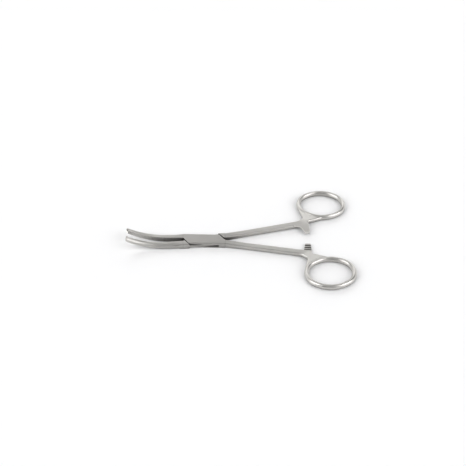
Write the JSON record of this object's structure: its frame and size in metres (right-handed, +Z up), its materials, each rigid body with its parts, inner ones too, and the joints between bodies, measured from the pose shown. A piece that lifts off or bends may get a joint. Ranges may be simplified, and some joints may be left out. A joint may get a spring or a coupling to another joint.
{
  "type": "curved hemostat forceps",
  "caption": "Curved hemostat forceps with a box lock pivot, serrated jaws with interlocking tip teeth, finger rings and a locking ratchet.",
  "frame": {"origin": "on the pivot's axis, level with the underside of the box lock", "axes": "+X from the pivot to the finger rings, +Y across towards the ring of the tongue half, +Z up, the way the jaws curve"},
  "size_m": [0.1389, 0.0818, 0.0108],
  "materials": {
    "satin_steel": "satin, glass-bead matted forged stainless steel",
    "pin_steel": "ground flush and satin"
  },
  "bodies": {
    "box_side": {"box_half": "satin_steel", "pivot_pin": "pin_steel"},
    "tongue_side": {"tongue_half": "satin_steel"}
  },
  "joints": [
    {"name": "box_lock_hinge", "type": "hinge", "parent": "box_side", "child": "tongue_side", "pos_m": [0, 0, 0], "axis": [0, 0, 1], "range_deg": [-6.36, 54]}
  ]
}
